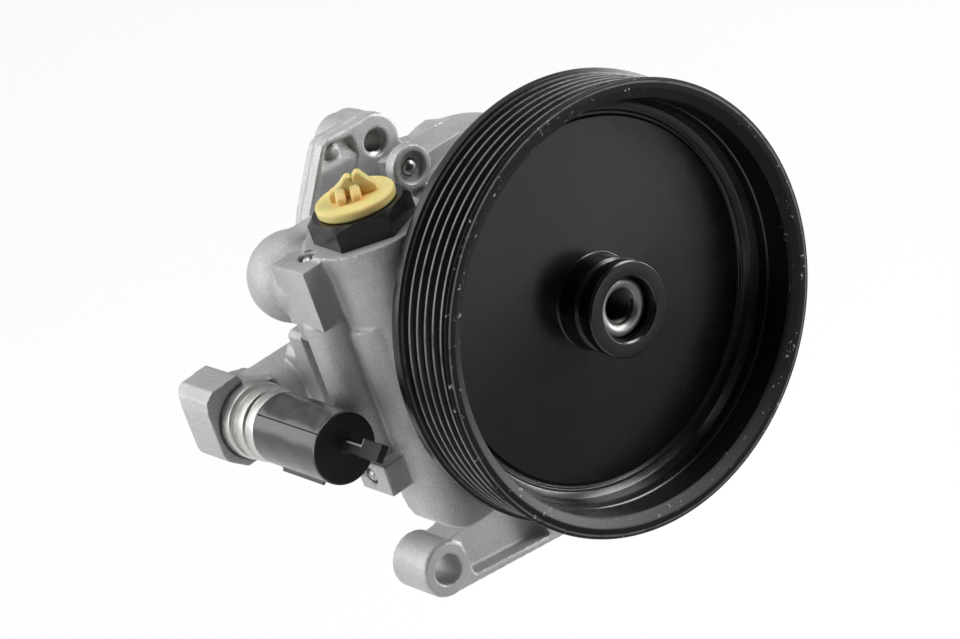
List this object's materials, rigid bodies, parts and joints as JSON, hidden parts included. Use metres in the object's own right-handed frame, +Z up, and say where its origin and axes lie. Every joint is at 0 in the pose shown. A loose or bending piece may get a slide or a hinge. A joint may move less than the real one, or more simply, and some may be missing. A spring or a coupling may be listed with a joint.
{
  "type": "power steering pump",
  "caption": "Vane-type hydraulic steering pump with a V-ribbed belt pulley, cast aluminium housing, mounting plate and ear, plugged suction fitting and capped pressure outlet.",
  "frame": {"origin": "on the shaft axis, in the middle plane of the belt", "axes": "+Y along the shaft from the pulley towards the rear cover, +Z up along the suction port, +X to the right seen from the pulley side"},
  "size_m": [0.1612, 0.099, 0.1574],
  "materials": {
    "black_paint": "satin black paint",
    "steel": "ground steel",
    "dark_steel": "hardened steel",
    "cast_housing": "sand-grained casting",
    "cast_cover": "sand-grained casting",
    "plated_steel": "plated",
    "rubber": "matte",
    "bronze": "plain",
    "sintered": "lapped",
    "black_fitting": "black oxide",
    "yellow_plastic": "pale moulded",
    "zinc_steel": "zinc plated",
    "black_plastic": "glossy soft plastic"
  },
  "bodies": {
    "pump": {"pump_housing": "cast_housing", "rear_cover": "cast_cover", "cover_bolts": "plated_steel", "cover_seal": "rubber", "shaft_seal": "rubber", "front_bush": "bronze", "rear_bush": "bronze", "front_plate": "sintered", "cam_ring": "dark_steel", "rear_plate": "sintered", "dowel_pins": "steel", "spool_spring": "dark_steel", "valve_plug": "plated_steel", "plug_seal": "rubber", "gallery_balls": "steel", "suction_fitting": "black_fitting", "fitting_seal": "rubber", "outlet_union": "zinc_steel", "union_seal": "rubber"},
    "shaft": {"pulley": "black_paint", "drive_shaft": "steel", "rotor": "dark_steel", "rotor_clip": "dark_steel"},
    "spool": {"flow_spool": "steel"},
    "plug": {"suction_plug": "yellow_plastic"},
    "cap": {"outlet_cap": "black_plastic"},
    "vane_01": {"vane_01": "steel"},
    "vane_02": {"vane_02": "steel"},
    "vane_03": {"vane_03": "steel"},
    "vane_04": {"vane_04": "steel"},
    "vane_05": {"vane_05": "steel"},
    "vane_06": {"vane_06": "steel"},
    "vane_07": {"vane_07": "steel"},
    "vane_08": {"vane_08": "steel"},
    "vane_09": {"vane_09": "steel"},
    "vane_10": {"vane_10": "steel"}
  },
  "joints": [
    {"name": "shaft_spin", "type": "hinge", "parent": "pump", "child": "shaft", "pos_m": [0, 0, 0], "axis": [0, 1, 0], "continuous": true},
    {"name": "vane_01_slide", "type": "slide", "parent": "shaft", "child": "vane_01", "axis": [1, 0, 0], "range_m": [-0.0016, 0.0005]},
    {"name": "vane_02_slide", "type": "slide", "parent": "shaft", "child": "vane_02", "axis": [0.809, 0, -0.5878], "range_m": [-0.0016, 0.0005]},
    {"name": "vane_03_slide", "type": "slide", "parent": "shaft", "child": "vane_03", "axis": [0.309, 0, -0.9511], "range_m": [-0.0016, 0.0005]},
    {"name": "vane_04_slide", "type": "slide", "parent": "shaft", "child": "vane_04", "axis": [-0.309, 0, -0.9511], "range_m": [-0.0016, 0.0005]},
    {"name": "vane_05_slide", "type": "slide", "parent": "shaft", "child": "vane_05", "axis": [-0.809, 0, -0.5878], "range_m": [-0.0016, 0.0005]},
    {"name": "vane_06_slide", "type": "slide", "parent": "shaft", "child": "vane_06", "axis": [-1, 0, 0], "range_m": [-0.0016, 0.0005]},
    {"name": "vane_07_slide", "type": "slide", "parent": "shaft", "child": "vane_07", "axis": [-0.809, 0, 0.5878], "range_m": [-0.0016, 0.0005]},
    {"name": "vane_08_slide", "type": "slide", "parent": "shaft", "child": "vane_08", "axis": [-0.309, 0, 0.9511], "range_m": [-0.0016, 0.0005]},
    {"name": "vane_09_slide", "type": "slide", "parent": "shaft", "child": "vane_09", "axis": [0.309, 0, 0.9511], "range_m": [-0.0016, 0.0005]},
    {"name": "vane_10_slide", "type": "slide", "parent": "shaft", "child": "vane_10", "axis": [0.809, 0, 0.5878], "range_m": [-0.0016, 0.0005]},
    {"name": "spool_slide", "type": "slide", "parent": "pump", "child": "spool", "axis": [1, 0, 0], "range_m": [0, 0.007], "stiffness_N_per_m": 1500, "springref_m": -0.004, "deforming": ["spool_spring"]},
    {"name": "plug_pull", "type": "slide", "parent": "pump", "child": "plug", "axis": [0, 0, 1], "range_m": [0, 0.025]},
    {"name": "cap_pull", "type": "slide", "parent": "pump", "child": "cap", "axis": [0, -1, 0], "range_m": [0, 0.034]}
  ]
}
